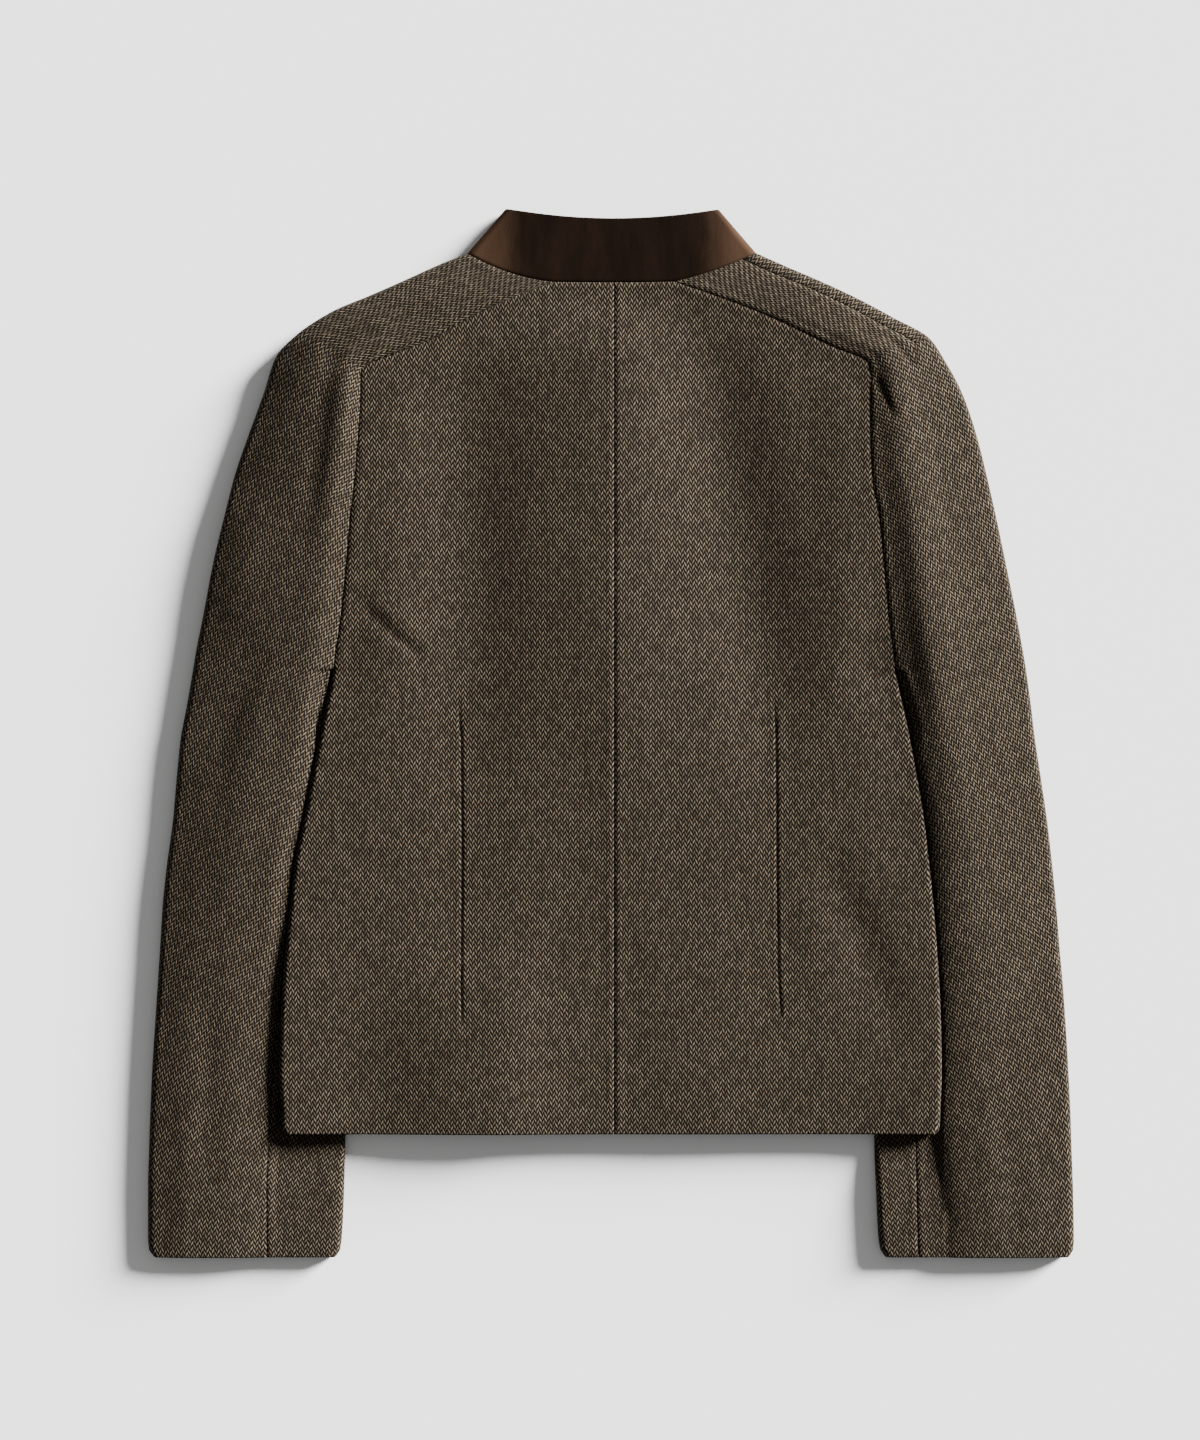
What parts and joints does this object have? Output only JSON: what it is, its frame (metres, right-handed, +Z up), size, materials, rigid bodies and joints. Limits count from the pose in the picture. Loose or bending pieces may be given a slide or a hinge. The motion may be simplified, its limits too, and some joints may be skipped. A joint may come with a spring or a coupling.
{
  "type": "short tweed jacket laid flat",
  "caption": "Short herringbone tweed jacket with saddle shoulders, tucked sleeve heads and a velvet stand collar, laid flat on its front.",
  "frame": {"origin": "centre of the garment's plan, on the surface it lies on", "axes": "+Y from the cuffs to the collar, +Z up out of the surface, +X to the wearer's right sleeve as seen from behind"},
  "size_m": [0.6468, 0.731, 0.023],
  "materials": {
    "tweed": "woven wool tweed, small herringbone, matte",
    "velvet": "short pile velvet"
  },
  "bodies": {
    "root": {"back_left": "tweed", "back_right": "tweed", "front_left": "tweed", "front_right": "tweed", "sleeve_top_left": "tweed", "sleeve_top_right": "tweed", "sleeve_under_left": "tweed", "sleeve_under_right": "tweed", "collar": "velvet"}
  },
  "joints": []
}
